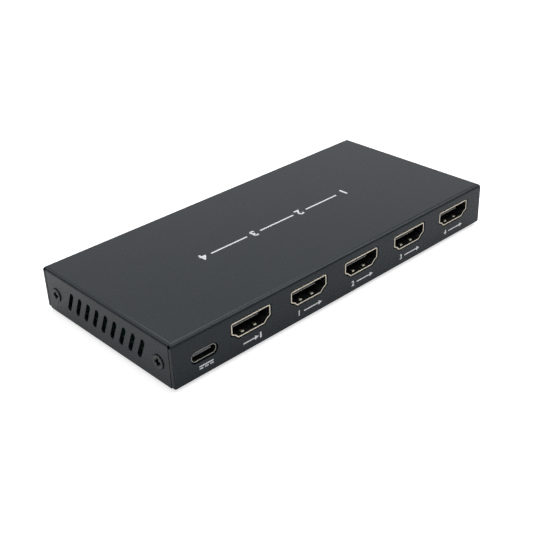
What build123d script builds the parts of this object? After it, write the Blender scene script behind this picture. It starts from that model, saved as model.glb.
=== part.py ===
from build123d import *
from math import cos, radians, sin
import os

# Signal splitter in a folded sheet steel case, sizes in millimetres.
# X runs along the row of sockets, the sockets face -Y, and Z is up.
# The origin is on the surface the feet stand on, below the middle of the case.

# Case
case_length = 135.4
case_width = 62.0
case_headroom = 2.35             # between the video sockets and the top sheet
sheet = 1.0                      # steel of the cover and of the tray
bend_inside_radius = 0.35
flange_seam = 0.25               # open seam between an end flange and a long flange
flange_corner_radius = 0.7       # lower corners of the long flanges
relief_radius = 0.5              # of the round relief at the top of each seam
relief_turn = 22.0               # degrees its axis turns from the end towards the long side
relief_climb = 20.0              # degrees its axis climbs
relief_flat_count = 8            # the round relief is drawn with this many flats
tray_clearance = 0.2             # between the tray and the cover around it
overrun = 1.0                    # how far a cutter runs past what it cuts
fit = 0.05                       # between pieces that seat on each other

# Slanted vents in both ends
vent_count = 9
vent_length = 7.25
vent_width = 1.65
vent_slant = 24.2                # degrees from upright, the top towards the sockets
vent_end_flats = 4               # short flats in each round end, to keep the faces of the rows few
vent_to_screw = 7.7              # from the last vent of the row to the case screw

# Case screws, seated in the end flanges and held in tabs of the tray
case_screw_inset = 6.0           # from the long side of the case
case_screw_lift = 1.7            # above the circuit board
case_screw_head_radius = 2.1
case_screw_head_rise = 0.4       # of the head out of the flange
case_screw_head_bevel = 0.15
case_screw_radius = 1.25
case_screw_length = 4.0          # inwards from the face of the flange
case_screw_gap = 0.3             # open ring around the head, at the face of the flange
cross_span = 2.4
cross_width = 0.65
cross_depth = 0.9
tab_rise = 3.5                   # of a tray tab above its screw
tab_margin = 0.5                 # between a tray tab and the long flange
tab_notch = 1.0                  # relief beside a tray tab

# Feet
foot_height = 1.2
foot_radius = 4.0
foot_end_inset = 16.0            # middle of a foot from the end of the case
foot_side_inset = 8.5            # middle of a foot from the long side

# Circuit board with its standoffs and screws
board_thickness = 1.6
board_end_gap = 0.3              # to the tray tabs
board_edge_gap = 1.2             # to the long flanges
standoff_height = 2.2
standoff_radius = 2.6            # of the hexagon, to its corners
standoff_inset = 5.2             # from the ends of the board
standoff_light_gap = 1.2         # before the light pipes
standoff_socket_gap = 6.8        # behind the video sockets
board_screw_radius = 1.2
board_screw_head_radius = 2.4    # of the hexagon, to its corners
board_screw_head_height = 1.6
board_hole_clearance = 0.2

# Video sockets
video_socket_count = 5
first_socket_offset = 28.35      # from the left end of the case
last_socket_offset = 14.85       # from the right end of the case
video_width = 14.9
video_height = 5.5
video_side_height = 3.67         # upright part of a side
video_shoulder_width = 1.22
video_shoulder_drop = 0.57
video_bottom_width = 9.94
video_corner_radius = 0.65
video_wall = 0.45
video_length = 10.6
video_recess = 0.1               # shell edge behind the panel face
video_lift = 0.65                # shell above the board
panel_gap = 0.28                 # between the shell and its cut-out in the panel
finger_width = 1.2
finger_slit = 0.3
finger_tip = 1.1                 # depths of the finger from the shell edge
finger_bump = 1.6
finger_root = 4.9
finger_rise = 0.21               # of the bump into the opening
floor_finger_spacing = 4.8
roof_finger_spacing = 8.0
tongue_width = 10.2
tongue_thickness = 1.3
tongue_height = 1.75             # above the floor of the opening
tongue_depth = 2.4               # tip behind the shell edge
tongue_chamfer = 0.3
video_block_depth = 6.2          # face of the insulator block
cap_thickness = 1.2              # of the insulator behind the shell
cap_margin = 0.6
video_contact_count = 10         # upper row, the lower row has one less
video_contact_pitch = 1.0
contact_width = 0.4
contact_thickness = 0.12
contact_setback = 0.4            # behind the tip of the tongue
leg_width = 1.2
leg_margin = 1.2                 # from the board edge and from the rear of the shell
leg_reach = 0.6                  # below the board
leg_clearance = 0.2

# Power socket
power_socket_offset = 11.1       # from the left end of the case
power_width = 8.94
power_height = 3.16
power_wall = 0.3
power_length = 7.3
power_recess = 0.4
power_lift = 0.05
power_panel_gap = 0.33
power_tongue_width = 6.69
power_tongue_thickness = 0.7
power_tongue_depth = 0.95
power_block_depth = 4.9
power_contact_count = 8
power_contact_pitch = 0.75
power_contact_width = 0.3

# Indicator lights: a chip light on the board and a light pipe over it to a window in the back panel
light_width = 2.6
light_height = 1.6
light_lift = 2.0                 # middle of the window above the board
light_sink = 0.1                 # end of the pipe behind the panel face
light_window_gap = 0.15
light_length = 5.6
light_leg = 0.5                  # of the pipe, before and behind its chip
light_chip_size = (1.6, 0.8, 0.6)
light_chip_gap = 0.2             # to the pipe around it

# Parts soldered on the board, as length, width and height
main_chip_size = (14.0, 14.0, 1.0)
thermal_pad_thickness = 0.5
heat_sink_base = 1.2
heat_sink_height = 4.5
heat_sink_fin_count = 7
heat_sink_fin_thickness = 0.8
control_chip_size = (7.0, 7.0, 0.9)
memory_chip_size = (4.9, 3.9, 1.5)
regulator_size = (6.5, 3.5, 1.6)
crystal_size = (5.0, 3.2, 1.2)
crystal_rim = 0.3
inductor_size = (5.2, 5.2, 2.8)
bulk_capacitor_size = (7.3, 4.3, 2.9)
bulk_capacitor_bevel = 0.5
bulk_terminal_width = 2.4
bulk_terminal_thickness = 0.3
surge_array_size = (2.9, 1.6, 1.1)
surge_array_spacing = 5.8        # of the two behind each video socket
surge_array_gap = 1.6            # behind the contacts
resistor_array_size = (3.2, 1.6, 0.6)
resistor_array_spacing = 4.4     # of the two behind each video socket
resistor_array_gap = 1.2         # behind the surge arrays
ceramic_size = (0.8, 1.6, 0.8)
ceramic_count = 6                # on each side of the main chip
ceramic_pitch = 2.2
ceramic_gap = 1.3                # beside the main chip
chip_lead_width = 0.4
chip_lead_thickness = 0.2
chip_lead_reach = 0.7
memory_lead_count = 4            # on each long side
memory_lead_pitch = 1.27
regulator_lead_count = 3
regulator_lead_pitch = 2.3

# Places on the board, as shares of half its length and half its width
main_chip_shares = (0.10, 0.14)
control_chip_shares = (-0.30, 0.16)
memory_chip_shares = (-0.47, 0.16)
crystal_shares = (-0.30, 0.50)
regulator_shares = (-0.68, 0.40)
inductor_shares = ((-0.52, 0.52), (0.44, 0.30))
bulk_capacitor_shares = ((-0.80, 0.10), (-0.63, -0.06))

# Levels and planes that the pieces share
case_floor = foot_height
tray_top = case_floor + sheet
board_bottom = tray_top + standoff_height
board_top = board_bottom + board_thickness
video_bottom = board_top + video_lift
video_middle = video_bottom + video_height / 2
case_inside_top = video_bottom + video_height + case_headroom
case_top = case_inside_top + sheet
case_middle = (case_floor + case_top) / 2
half_length = case_length / 2
half_width = case_width / 2
tray_half_length = half_length - sheet - tray_clearance
tray_half_width = half_width - sheet - tray_clearance
board_half_length = tray_half_length - sheet - board_end_gap
board_half_width = half_width - sheet - board_edge_gap
bend_outside_radius = bend_inside_radius + sheet
case_screw_y = half_width - case_screw_inset
case_screw_z = board_top + case_screw_lift

socket_pitch = (case_length - first_socket_offset - last_socket_offset) / (video_socket_count - 1)
first_socket_x = first_socket_offset - half_length
video_x = [first_socket_x + number * socket_pitch for number in range(video_socket_count)]
video_names = ["input_socket"] + [f"output_{number}_socket" for number in range(1, video_socket_count)]
video_front = -half_width + video_recess
video_rear = video_front + video_length
cap_rear = video_rear + cap_thickness
contacts_rear = cap_rear + fit + contact_thickness
power_x = power_socket_offset - half_length
power_front = -half_width + power_recess
power_middle = board_top + power_lift + power_height / 2
light_x = [power_x] + video_x
light_names = ["power_light"] + [name.replace("socket", "light") for name in video_names]
light_middle = board_top + light_lift
light_tip = half_width - light_sink
light_rear = light_tip - light_length
light_tunnel = light_chip_size[1] + 2 * light_chip_gap

standoff_x = board_half_length - standoff_inset
standoff_front_y = cap_rear + standoff_socket_gap + standoff_radius
standoff_back_y = light_rear - standoff_light_gap - standoff_radius
standoff_places = [(side * standoff_x, y) for side in (-1, 1) for y in (standoff_front_y, standoff_back_y)]


def along_x(sketch, start, end):
    """A prism along X of a sketch in Y and Z."""
    return extrude(Plane.YZ.offset(start) * sketch, amount=end - start)


def along_y(sketch, start, end):
    """A prism along Y of a sketch in X and Z."""
    return extrude(Plane.XZ.offset(-end) * sketch, amount=end - start)


def along_z(sketch, start, end):
    """A prism along Z of a sketch in X and Y."""
    return extrude(Plane.XY.offset(start) * sketch, amount=end - start)


def block(x, y, z):
    """A box between its low and high values on each axis."""
    size = (x[1] - x[0], y[1] - y[0], z[1] - z[0])
    return Pos(sum(x) / 2, sum(y) / 2, sum(z) / 2) * Box(*size)


def standing(size, place, floor):
    """A box of a given size that stands at a place."""
    return Pos(place[0], place[1], floor + size[2] / 2) * Box(*size)


def board_place(shares):
    """A place on the board from its shares."""
    return (shares[0] * board_half_length, shares[1] * board_half_width)


def outline(points):
    """A closed face through points."""
    return make_face(Polyline(*points, close=True))


def turned(points):
    """A solid of revolution about Z from radius and height."""
    return revolve(Plane.XZ * outline(points), Axis.Z)


def on_both_ends(piece):
    """A piece made for the left end, and its mirror image at the right end."""
    return [piece, mirror(piece, about=Plane.YZ)]


# Cover: one sheet, its four sides folded down
def folded_box(length, width, top, radius):
    """A block with its four upper edges rounded like bends."""
    def section(span):
        face = Pos(0, (case_floor + top) / 2) * Rectangle(span, top - case_floor)
        return fillet(face.vertices().group_by(Axis.Y)[-1], radius)
    lengthwise = along_x(section(width), -length / 2, length / 2)
    return lengthwise & along_y(section(length), -width / 2, width / 2)


def corner_relief():
    """What the relief takes off an upper corner: a hole out of the middle of its bends."""
    inset = bend_outside_radius
    turn = radians(relief_turn)
    climb = radians(relief_climb)
    axis = (cos(climb) * cos(turn), cos(climb) * sin(turn), sin(climb))
    plane = Plane(origin=(half_length - inset, half_width - inset, case_top - inset), z_dir=axis)
    return extrude(plane * RegularPolygon(relief_radius, relief_flat_count), amount=inset + overrun)


def corner_seam():
    """The open seam between an end flange and a long flange."""
    inner = half_width - sheet - flange_seam
    return block(
        (half_length - sheet, half_length + overrun),
        (inner, half_width - sheet),
        (case_floor - overrun, case_inside_top),
    )


def flange_corner():
    """What rounding takes off the lower corner of a long flange."""
    radius = flange_corner_radius
    x_span = (half_length - radius, half_length + overrun)
    y_span = (half_width - sheet - flange_seam, half_width + overrun)
    square = block(x_span, y_span, (case_floor - overrun, case_floor + radius))
    disc = along_y(Pos(x_span[0], case_floor + radius) * Circle(radius), *y_span)
    return square - disc


def video_profile():
    """A video socket with sharp corners: a wide top, and shoulders that step in to the narrow bottom."""
    half = video_width / 2
    top = video_height / 2
    side_end = top - video_side_height
    right = [
        (half, top),
        (half, side_end),
        (half - video_shoulder_width, side_end - video_shoulder_drop),
        (video_bottom_width / 2, -top),
    ]
    return outline(right + [(-x, z) for x, z in reversed(right)])


def video_outline():
    """The outside of a video socket, its upper corners rounded like bends."""
    return fillet(video_profile().vertices().group_by(Axis.Y)[-1], video_corner_radius)


def video_opening(gap=0):
    """The inside of a video socket, or what fits in it with a gap all round."""
    return offset(video_profile(), -video_wall - gap, kind=Kind.INTERSECTION)


def vent_row():
    """The slanted slots of an end, as a sketch in Y and Z."""
    field = 2 * (case_screw_y - vent_to_screw)
    radius = vent_width / 2
    reach = vent_length / 2 - radius
    turns = [radians(180 * step / vent_end_flats) for step in range(vent_end_flats + 1)]
    end = [(reach + radius * sin(turn), radius * cos(turn)) for turn in turns]
    slot = Rot(0, 0, 90 + vent_slant) * outline(end + [(-y, -z) for y, z in end])
    steps = [number / (vent_count - 1) - 1 / 2 for number in range(vent_count)]
    return [Pos(step * field, case_middle) * slot for step in steps]


def case_screw_hole():
    """What a case screw's hole takes out of the flange: a cone that the head seats in, head up."""
    mouth = case_screw_head_radius + case_screw_gap
    bore = case_screw_radius + fit
    end = -sheet - overrun
    return turned([(0, overrun), (mouth, overrun), (mouth, 0), (bore, -sheet), (bore, end), (0, end)])


def case_screw_locations():
    """Where the case screws sit, at the faces of the end flanges with their heads outwards."""
    return [
        Location((side * half_length, y, case_screw_z), (0, side * 90, 0))
        for side in (-1, 1)
        for y in (-case_screw_y, case_screw_y)
    ]


def make_cover():
    outside = folded_box(case_length, case_width, case_top, bend_outside_radius)
    inside_length = case_length - 2 * sheet
    inside_width = case_width - 2 * sheet
    inside = folded_box(inside_length, inside_width, case_inside_top, bend_inside_radius)
    cover = outside - inside
    corner = corner_relief() + corner_seam() + flange_corner()
    for about in (Plane.YZ, Plane.XZ):
        corner = corner + mirror(corner, about=about)
    cover = cover - corner
    panel = (-half_width - overrun, -half_width + sheet + overrun)
    hole = offset(video_outline(), panel_gap, kind=Kind.INTERSECTION)
    cuts = [along_y(Pos(x, video_middle) * hole, *panel) for x in video_x]
    power_hole = SlotOverall(power_width + 2 * power_panel_gap, power_height + 2 * power_panel_gap)
    cuts.append(along_y(Pos(power_x, power_middle) * power_hole, *panel))
    window = Rectangle(light_width + 2 * light_window_gap, light_height + 2 * light_window_gap)
    panel = (half_width - sheet - overrun, half_width + overrun)
    cuts += [along_y(Pos(x, light_middle) * window, *panel) for x in light_x]
    for slot in vent_row():
        cuts += on_both_ends(along_x(slot, -half_length - overrun, -half_length + sheet + overrun))
    cuts += [place * case_screw_hole() for place in case_screw_locations()]
    return cover - cuts


# Tray: the bottom plate with four tabs turned up inside the ends
def tray_tab():
    """A tab of the left end, bent up from the plate and tapped for its screw."""
    width = 2 * (case_screw_inset - sheet - tab_margin)
    rise = case_screw_z + tab_rise
    bend = bend_outside_radius
    profile = outline([
        (-tray_half_length, case_floor), (-tray_half_length, rise), (-tray_half_length + sheet, rise),
        (-tray_half_length + sheet, tray_top), (-tray_half_length + bend + sheet, tray_top),
        (-tray_half_length + bend + sheet, case_floor),
    ])
    outer = profile.vertices().sort_by_distance((-tray_half_length, case_floor))[0]
    tab = along_y(fillet(outer, bend_outside_radius), -width / 2, width / 2)
    hole = Pos(0, case_screw_z) * Circle(case_screw_radius + fit)
    return tab - along_x(hole, -tray_half_length - overrun, -tray_half_length + sheet + overrun)


def make_tray():
    plate = along_z(Rectangle(2 * tray_half_length, 2 * tray_half_width), case_floor, tray_top)
    tab_half = case_screw_inset - sheet - tab_margin
    notch_depth = bend_outside_radius + sheet
    clear_half = tab_half + tab_notch
    tabs = []
    for y in (-case_screw_y, case_screw_y):
        edge = block(
            (-tray_half_length - overrun, -tray_half_length + notch_depth),
            (y - clear_half, y + clear_half),
            (case_floor - overrun, tray_top + overrun),
        )
        plate = plate - on_both_ends(edge)
        tabs += on_both_ends(Pos(0, y, 0) * tray_tab())
    tray = plate + tabs
    seat = along_z(RegularPolygon(standoff_radius + fit, 6), case_floor - overrun, tray_top + overrun)
    return tray - [Pos(*place, 0) * seat for place in standoff_places]


def make_feet():
    x = half_length - foot_end_inset
    y = half_width - foot_side_inset
    foot = along_z(Circle(foot_radius), 0, foot_height)
    return [Pos(side * x, end * y, 0) * foot for side in (-1, 1) for end in (-1, 1)]


def make_case_screws():
    top = case_screw_head_rise
    radius = case_screw_head_radius
    bevel = case_screw_head_bevel
    screw = turned([
        (0, top), (radius - bevel, top), (radius, top - bevel), (radius, 0), (case_screw_radius, -sheet),
        (case_screw_radius, -case_screw_length), (0, -case_screw_length),
    ])
    arm = (-cross_span / 2, cross_span / 2)
    side = (-cross_width / 2, cross_width / 2)
    depth = (top - cross_depth, overrun)
    screw = screw - block(arm, side, depth) - block(side, arm, depth)
    return [place * screw for place in case_screw_locations()]


# Board and what carries it
def leg_places(x, width, wall, rear):
    """Middles of the four legs of a socket shell: behind the board edge and before its own rear."""
    reach = width / 2 - wall / 2
    front_y = -board_half_width + leg_margin + leg_width / 2
    rear_y = rear - leg_margin - leg_width / 2
    return [(x + side * reach, y) for side in (-1, 1) for y in (front_y, rear_y)]


def make_board():
    plan = Rectangle(2 * board_half_length, 2 * board_half_width)
    holes = [Pos(*place) * Circle(board_screw_radius + board_hole_clearance) for place in standoff_places]
    for x in video_x:
        slot = Rectangle(video_wall + 2 * leg_clearance, leg_width + 2 * leg_clearance)
        holes += [Pos(*place) * slot for place in leg_places(x, video_width, video_wall, video_rear)]
    slot = Rectangle(power_wall + 2 * leg_clearance, leg_width + 2 * leg_clearance)
    power_rear = power_front + power_length
    holes += [Pos(*place) * slot for place in leg_places(power_x, power_width, power_wall, power_rear)]
    return along_z(plan - holes, board_bottom, board_top)


def make_standoffs():
    """Tapped hexagonal standoffs, pressed into the tray."""
    section = RegularPolygon(standoff_radius, 6) - Circle(board_screw_radius + fit)
    return [along_z(Pos(*place) * section, case_floor, board_bottom) for place in standoff_places]


def make_board_screws():
    head_top = board_top + board_screw_head_height
    head = along_z(RegularPolygon(board_screw_head_radius, 6), board_top, head_top)
    screw = head + along_z(Circle(board_screw_radius), tray_top, board_top)
    return [Pos(*place, 0) * screw for place in standoff_places]


# Sockets
def contact(tip, turn, level, width):
    """One contact: a strip from its tip, and a drop to the board behind the insulator."""
    thick = contact_thickness
    profile = outline([
        (tip, level), (tip, level + thick), (turn + thick, level + thick),
        (turn + thick, board_top), (turn, board_top), (turn, level),
    ])
    return along_x(profile, -width / 2, width / 2)


def contact_rows(counts, pitch, strip_ends, tongue, width):
    """Contacts on the upper and the lower face of a tongue, given by its two levels."""
    strips = []
    for count, level in zip(counts, (tongue[1], tongue[0] - contact_thickness)):
        strip = contact(*strip_ends, level, width)
        strips += [Pos((n - (count - 1) / 2) * pitch, 0, 0) * strip for n in range(count)]
    return strips


def row_slots(row_width, tongue, start, end):
    """The slots that let both rows of contacts through an insulator."""
    half = row_width / 2 + fit
    upper = (tongue[1], tongue[1] + contact_thickness + fit)
    lower = (tongue[0] - contact_thickness - fit, tongue[0])
    return [block((-half, half), (start, end), level) for level in (upper, lower)]


def legs(width, wall, rear, top):
    """The legs of a socket shell, down through the board."""
    leg = along_z(Rectangle(wall, leg_width), board_bottom - leg_reach, top)
    return [Pos(*place, 0) * leg for place in leg_places(0, width, wall, rear)]


def spring_finger(x, floor, outward):
    """A finger cut free on three sides and bowed into the opening, and its window in the wall."""
    half = finger_width / 2
    wall = outward * video_wall
    rise = floor - outward * finger_rise
    tip, bump, root = (video_front + depth for depth in (finger_tip, finger_bump, finger_root))
    inside = [(root, floor), (bump, rise), (tip, floor)]
    profile = outline(inside + [(y, z + wall) for y, z in reversed(inside)])
    finger = Pos(x, 0, 0) * along_x(profile, -half, half)
    level = sorted((floor - outward * fit, floor + wall + outward * fit))
    window = block((x - half - finger_slit, x + half + finger_slit), (tip - finger_slit, root), level)
    return finger, window


def make_video_shell():
    tube = video_outline() - video_opening()
    shell = along_y(Pos(0, video_middle) * tube, video_front, video_rear)
    floor = video_bottom + video_wall
    roof = video_bottom + video_height - video_wall
    places = [(side * floor_finger_spacing / 2, floor, -1) for side in (-1, 1)]
    places += [(side * roof_finger_spacing / 2, roof, 1) for side in (-1, 1)]
    for place in places:
        finger, window = spring_finger(*place)
        shell = shell - window + finger
    return shell + legs(video_width, video_wall, video_rear, video_middle)


def make_video_insulator(tongue):
    face = Pos(0, video_middle) * video_opening(fit)
    body = along_y(face, video_front + video_block_depth, video_rear)
    half = video_width / 2 - cap_margin
    cap_top = video_bottom + video_height - cap_margin
    body = body + block((-half, half), (video_rear, cap_rear), (board_top, cap_top))
    tip = video_front + tongue_depth
    bar = block((-tongue_width / 2, tongue_width / 2), (tip, video_front + video_block_depth), tongue)
    bar = chamfer(bar.edges().filter_by(Axis.X).group_by(Axis.Y)[0], tongue_chamfer)
    row_width = (video_contact_count - 1) * video_contact_pitch + contact_width
    return body + bar - row_slots(row_width, tongue, video_front + video_block_depth, cap_rear + overrun)


def make_video_contacts(tongue):
    counts = (video_contact_count, video_contact_count - 1)
    strip_ends = (video_front + tongue_depth + contact_setback, cap_rear + fit)
    return contact_rows(counts, video_contact_pitch, strip_ends, tongue, contact_width)


def make_power_socket():
    face = SlotOverall(power_width, power_height)
    tube = face - offset(face, -power_wall)
    rear = power_front + power_length
    shell = along_y(Pos(0, power_middle) * tube, power_front, rear)
    shell = shell + legs(power_width, power_wall, rear, power_middle)
    tongue = (power_middle - power_tongue_thickness / 2, power_middle + power_tongue_thickness / 2)
    block_face = Pos(0, power_middle) * offset(face, -power_wall - fit)
    block_front = power_front + power_block_depth
    insulator = along_y(block_face, block_front, rear)
    half = power_tongue_width / 2
    insulator = insulator + block((-half, half), (power_front + power_tongue_depth, block_front), tongue)
    row_width = (power_contact_count - 1) * power_contact_pitch + power_contact_width
    insulator = insulator - row_slots(row_width, tongue, block_front, rear + overrun)
    counts = (power_contact_count, power_contact_count)
    strip_ends = (power_front + power_tongue_depth + contact_setback, rear + fit)
    contacts = contact_rows(counts, power_contact_pitch, strip_ends, tongue, power_contact_width)
    place = Pos(power_x, 0, 0)
    return place * shell, place * insulator, [place * strip for strip in contacts]


# Indicator lights
def make_light(x):
    """A light pipe: it stands astride its chip and turns the light to the back panel."""
    low = light_middle - light_height / 2
    high = light_middle + light_height / 2
    tunnel = (light_rear + light_leg, light_rear + light_leg + light_tunnel)
    tunnel_top = board_top + light_chip_size[2] + light_chip_gap
    front = tunnel[1] + light_leg
    profile = outline([
        (light_tip, low), (light_tip, high), (light_rear + light_height, high), (light_rear, low),
        (light_rear, board_top), (tunnel[0], board_top), (tunnel[0], tunnel_top), (tunnel[1], tunnel_top),
        (tunnel[1], board_top), (front, board_top), (front, low),
    ])
    return along_x(profile, x - light_width / 2, x + light_width / 2)


def make_light_chips():
    y = light_rear + light_leg + light_tunnel / 2
    return [standing(light_chip_size, (x, y), board_top) for x in light_x]


# Electronics on the board
def make_heat_sink():
    place = board_place(main_chip_shares)
    length, width, height = main_chip_size
    floor = board_top + height + thermal_pad_thickness
    base = standing((length, width, heat_sink_base), place, floor)
    pitch = (length - heat_sink_fin_thickness) / (heat_sink_fin_count - 1)
    fin_size = (heat_sink_fin_thickness, width, heat_sink_height)
    first = place[0] - length / 2 + heat_sink_fin_thickness / 2
    fins = [standing(fin_size, (first + n * pitch, place[1]), floor) for n in range(heat_sink_fin_count)]
    return base + fins


def make_thermal_pad():
    length, width, height = main_chip_size
    size = (length, width, thermal_pad_thickness)
    return standing(size, board_place(main_chip_shares), board_top + height)


def lead_of_chip(side, edge, level):
    """A chip lead out of a long side, bent down to the board."""
    thick = chip_lead_thickness
    end = edge + chip_lead_reach
    points = [
        (edge, level), (edge, level + thick), (end, level + thick),
        (end, board_top), (end - thick, board_top), (end - thick, level),
    ]
    return along_x(outline([(side * y, z) for y, z in points]), -chip_lead_width / 2, chip_lead_width / 2)


def make_chip_leads():
    leads = []
    for size, shares, count, pitch in (
        (memory_chip_size, memory_chip_shares, memory_lead_count, memory_lead_pitch),
        (regulator_size, regulator_shares, regulator_lead_count, regulator_lead_pitch),
    ):
        x, y = board_place(shares)
        for side in (-1, 1):
            lead = lead_of_chip(side, size[1] / 2, board_top + size[2] / 2)
            leads += [Pos(x + (n - (count - 1) / 2) * pitch, y, 0) * lead for n in range(count)]
    return leads


def make_crystal():
    length, width, height = crystal_size
    place = board_place(crystal_shares)
    base = standing((length, width, height / 2), place, board_top)
    return base + standing((length - 2 * crystal_rim, width - 2 * crystal_rim, height), place, board_top)


def make_inductor(shares):
    place = board_place(shares)
    body = standing(inductor_size, place, board_top)
    return chamfer(body.edges().filter_by(Axis.Z), inductor_size[0] / 8)


def make_bulk_capacitor(shares):
    body = standing(bulk_capacitor_size, board_place(shares), board_top + bulk_terminal_thickness)
    return chamfer(body.edges().group_by(Axis.Z)[-1], bulk_capacitor_bevel)


def make_bulk_terminals(shares):
    """The two terminals of a capacitor, on the board and folded up its ends."""
    x, y = board_place(shares)
    end = bulk_capacitor_size[0] / 2
    thick = bulk_terminal_thickness
    rise = board_top + bulk_capacitor_size[2] / 2
    profile = outline([
        (end - bulk_terminal_width / 2, board_top), (end - bulk_terminal_width / 2, board_top + thick),
        (end, board_top + thick), (end, rise), (end + thick, rise), (end + thick, board_top),
    ])
    terminal = Pos(x, y, 0) * along_y(profile, -bulk_terminal_width / 2, bulk_terminal_width / 2)
    return [terminal, mirror(terminal, about=Plane.YZ.offset(x))]


def pair_behind_sockets(size, spacing, gap):
    """Two parts behind each video socket, a gap behind its contacts."""
    y = contacts_rear + gap + size[1] / 2
    return [standing(size, (x + side * spacing / 2, y), board_top) for x in video_x for side in (-1, 1)]


def make_ceramics():
    x, y = board_place(main_chip_shares)
    reach = main_chip_size[1] / 2 + ceramic_gap + ceramic_size[1] / 2
    steps = [(n - (ceramic_count - 1) / 2) * ceramic_pitch for n in range(ceramic_count)]
    places = [(x + step, y + side * reach) for side in (-1, 1) for step in steps]
    return [standing(ceramic_size, place, board_top) for place in places]


# The whole splitter, a name for each piece
nodes = {
    "top_cover": make_cover(),
    "bottom_tray": make_tray(),
    "case_screws": make_case_screws(),
    "circuit_board": make_board(),
    "board_standoffs": make_standoffs(),
    "board_screws": make_board_screws(),
    "rubber_feet": make_feet(),
}

tongue_floor = video_bottom + video_wall + tongue_height
video_tongue = (tongue_floor, tongue_floor + tongue_thickness)
video_shell = make_video_shell()
video_insulator = make_video_insulator(video_tongue)
video_contacts = make_video_contacts(video_tongue)
for name, x in zip(video_names, video_x):
    nodes[f"{name}_shell"] = Pos(x, 0, 0) * video_shell
    nodes[f"{name}_insulator"] = Pos(x, 0, 0) * video_insulator
    nodes[f"{name}_contacts"] = [Pos(x, 0, 0) * strip for strip in video_contacts]
power_shell, power_insulator, power_contacts = make_power_socket()
nodes["power_socket_shell"] = power_shell
nodes["power_socket_insulator"] = power_insulator
nodes["power_socket_contacts"] = power_contacts
for name, x in zip(light_names, light_x):
    nodes[name] = make_light(x)
nodes["light_chips"] = make_light_chips()

nodes["main_chip"] = standing(main_chip_size, board_place(main_chip_shares), board_top)
nodes["thermal_pad"] = make_thermal_pad()
nodes["heat_sink"] = make_heat_sink()
nodes["control_chip"] = standing(control_chip_size, board_place(control_chip_shares), board_top)
nodes["memory_chip"] = standing(memory_chip_size, board_place(memory_chip_shares), board_top)
nodes["voltage_regulator"] = standing(regulator_size, board_place(regulator_shares), board_top)
nodes["chip_leads"] = make_chip_leads()
nodes["crystal"] = make_crystal()
nodes["power_inductors"] = [make_inductor(shares) for shares in inductor_shares]
nodes["bulk_capacitors"] = [make_bulk_capacitor(shares) for shares in bulk_capacitor_shares]
nodes["capacitor_terminals"] = sum((make_bulk_terminals(shares) for shares in bulk_capacitor_shares), [])
nodes["surge_arrays"] = pair_behind_sockets(surge_array_size, surge_array_spacing, surge_array_gap)
resistor_gap = surge_array_gap + surge_array_size[1] + resistor_array_gap
nodes["resistor_arrays"] = pair_behind_sockets(resistor_array_size, resistor_array_spacing, resistor_gap)
nodes["ceramic_capacitors"] = make_ceramics()

os.makedirs("parts", exist_ok=True)
for name, piece in nodes.items():
    shape = Compound(children=piece) if isinstance(piece, list) else piece
    export_step(shape, f"parts/{name}.step")
print(f"{len(nodes)} pieces written, case {case_length} by {case_width} by {case_top - case_floor:.1f}")
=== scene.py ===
from math import cos, pi, radians, sin

import bmesh
import bpy
import numpy as np
from mathutils import Matrix, Vector


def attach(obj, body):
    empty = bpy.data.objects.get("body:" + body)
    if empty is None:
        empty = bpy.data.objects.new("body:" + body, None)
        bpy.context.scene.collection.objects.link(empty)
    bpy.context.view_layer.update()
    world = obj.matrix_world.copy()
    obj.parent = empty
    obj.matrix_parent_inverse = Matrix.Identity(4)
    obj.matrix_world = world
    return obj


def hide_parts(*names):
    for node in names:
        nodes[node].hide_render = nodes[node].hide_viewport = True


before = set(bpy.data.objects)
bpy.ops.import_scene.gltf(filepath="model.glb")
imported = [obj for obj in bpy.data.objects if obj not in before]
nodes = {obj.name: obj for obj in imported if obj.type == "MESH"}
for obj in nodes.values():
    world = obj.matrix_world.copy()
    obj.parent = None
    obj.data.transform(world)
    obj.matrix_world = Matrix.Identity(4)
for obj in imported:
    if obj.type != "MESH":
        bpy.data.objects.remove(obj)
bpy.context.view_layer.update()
mm = 0.001
print("packed frame loaded,", len(nodes), "nodes")

# The case in millimetres: the sockets face -Y, the feet stand on z = 0.
case = {
    "halfLength": 67.7,
    "halfWidth": 31.0,
    "floor": 1.2,
    "top": 15.5,
    "sheet": 1.0,
    "bend": 1.35,          # outside radius of the folds
    "boardTop": 6.0,
    "boardBottom": 4.4,
    "boardFront": -28.8,
}


def placed(name, data):
    # A new object that holds the data, in the scene.
    item = bpy.data.objects.new(name, data)
    bpy.context.scene.collection.objects.link(item)
    return item


# Camera: the photograph's own place, direction and lens
photoCamera = {
    "place": (-183.766, -197.844, 152.439),
    "azimuth": -42.2113,   # 0 looks along +Y
    "elevation": 29.8671,
    "roll": -2.4282,
    "focalPixels": 939.61,
    "framePixels": 534,
    "sensor": 36.0,
    "centreShift": (0.831, 4.154),   # of the picture's optical centre, in pixels right and down
    "clip": (0.01, 20),    # metres
}


def makeCamera(p):
    # The camera's own axes are right, up and back; the roll turns right and up about back.
    a, e, r = (radians(p[k]) for k in ("azimuth", "elevation", "roll"))
    back = np.array([sin(a) * cos(e), -cos(a) * cos(e), sin(e)])
    right = np.cross([0, 0, 1], back)
    right = right / np.linalg.norm(right)
    up = np.cross(back, right)
    axes = np.array([cos(r) * right + sin(r) * up, cos(r) * up - sin(r) * right, back])
    lens = bpy.data.cameras.new("photoCamera")
    lens.sensor_width = p["sensor"]
    lens.lens = p["focalPixels"] / p["framePixels"] * p["sensor"]
    lens.shift_x = -p["centreShift"][0] / p["framePixels"]
    lens.shift_y = p["centreShift"][1] / p["framePixels"]
    lens.clip_start, lens.clip_end = p["clip"]
    camera = placed("photoCamera", lens)
    turn = Matrix(axes.T.tolist()).to_4x4()
    camera.matrix_world = Matrix.Translation(Vector(p["place"]) * mm) @ turn
    bpy.context.scene.camera = camera


makeCamera(photoCamera)
print("camera placed")


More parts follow.
